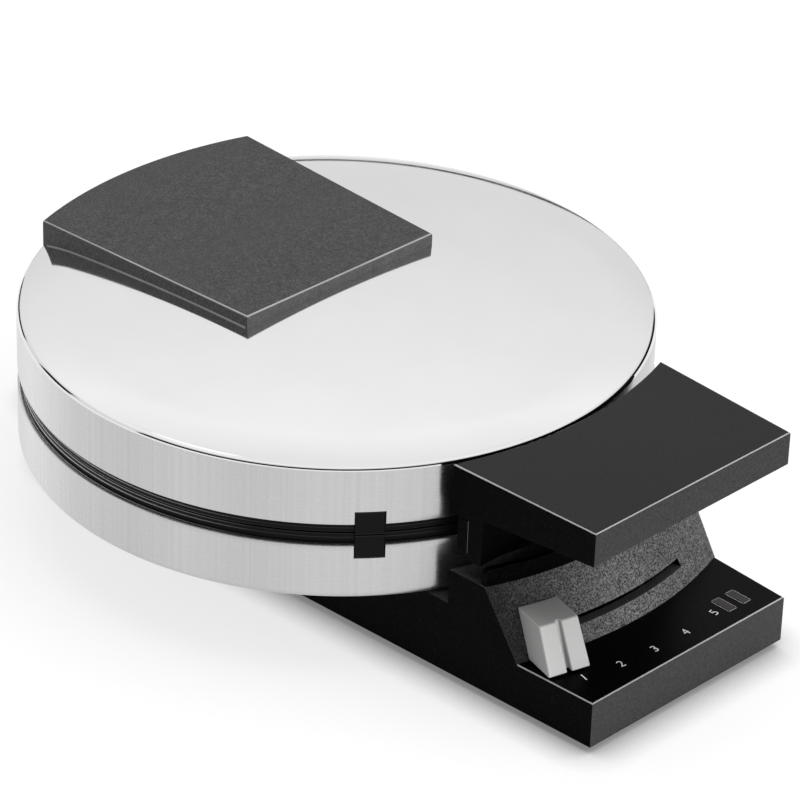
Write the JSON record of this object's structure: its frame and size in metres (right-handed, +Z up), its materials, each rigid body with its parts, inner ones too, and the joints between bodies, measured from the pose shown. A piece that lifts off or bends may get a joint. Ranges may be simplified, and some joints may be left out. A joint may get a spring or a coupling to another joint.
{
  "type": "round waffle maker",
  "caption": "Round countertop waffle maker with a domed hinged lid, black tapered handle and stand, and a swinging browning slider.",
  "frame": {"origin": "centre of the bounding box's footprint, on the surface the feet stand on", "axes": "+Z up, -Y towards the handle and number panel, +X to the user's right"},
  "size_m": [0.19, 0.2528, 0.0797],
  "materials": {
    "black_moulding": "fine textured black moulding",
    "handle_moulding": "satin black heat-resistant moulding",
    "grey_moulding": "light grey satin moulding",
    "rubber": "matt",
    "zinc_steel": "zinc-plated",
    "steel_ring": "fine brushed round the ring",
    "steel_lid": "polished dome and brushed wall",
    "nonstick": "satin non-stick coat",
    "element_sheath": "heat-darkened tube",
    "bright_aluminium": "bright",
    "ceramic": "glazed",
    "brass": "plain",
    "fuse_case": "plated can",
    "red_lens": "dark red, clear",
    "green_lens": "dark green, clear",
    "lamp_glass": "clear",
    "lead_sleeve": "braided glass sleeve"
  },
  "bodies": {
    "base": {"base_stand": "black_moulding", "hinge_tower": "black_moulding", "bottom_cover": "black_moulding", "rubber_feet": "rubber", "bottom_cover_screws": "zinc_steel", "lower_shell": "steel_ring", "lower_grid_plate": "nonstick", "lower_plate_rim": "nonstick", "lower_plate_screws": "zinc_steel", "lower_heating_element": "element_sheath", "lower_element_clamps": "zinc_steel", "lower_clamp_screws": "zinc_steel", "lower_heat_reflector": "bright_aluminium", "thermostat_body": "ceramic", "thermostat_screws": "zinc_steel", "thermal_fuse": "fuse_case", "fuse_clip": "zinc_steel", "terminal_block": "ceramic", "terminal_screws": "brass", "cord_grommet": "rubber", "power_light_lens": "red_lens", "ready_light_lens": "green_lens", "power_lamp": "lamp_glass", "ready_lamp": "lamp_glass", "lamp_holder": "black_moulding", "hinge_pin": "zinc_steel", "mains_leads": "lead_sleeve", "thermostat_leads": "lead_sleeve", "lamp_leads": "lead_sleeve"},
    "slider": {"slider_knob": "grey_moulding", "slider_lever": "zinc_steel", "thermostat_shaft": "brass", "lever_collars": "brass"},
    "lid": {"lid_shell": "steel_lid", "upper_grid_plate": "nonstick", "upper_plate_rim": "nonstick", "upper_heating_element": "element_sheath", "upper_element_clamps": "zinc_steel", "upper_clamp_screws": "zinc_steel", "upper_heat_reflector": "bright_aluminium", "handle": "handle_moulding", "handle_guards": "black_moulding", "handle_bracket": "zinc_steel", "handle_bracket_screws": "zinc_steel", "handle_screws": "zinc_steel", "hinge_cover": "handle_moulding", "hinge_cover_screws": "zinc_steel", "hinge_arm": "black_moulding", "hinge_bracket": "zinc_steel", "hinge_bracket_screws": "zinc_steel", "hinge_arm_screws": "zinc_steel", "lid_leads": "lead_sleeve"}
  },
  "joints": [
    {"name": "lid_hinge", "type": "hinge", "parent": "base", "child": "lid", "pos_m": [0, 0.11985, 0.0475], "axis": [-1, 0, 0], "range_deg": [0, 100]},
    {"name": "slider_swing", "type": "hinge", "parent": "base", "child": "slider", "pos_m": [0, 0.01885, 0.0232], "axis": [0, 0, 1], "range_deg": [0, 23.6]}
  ]
}
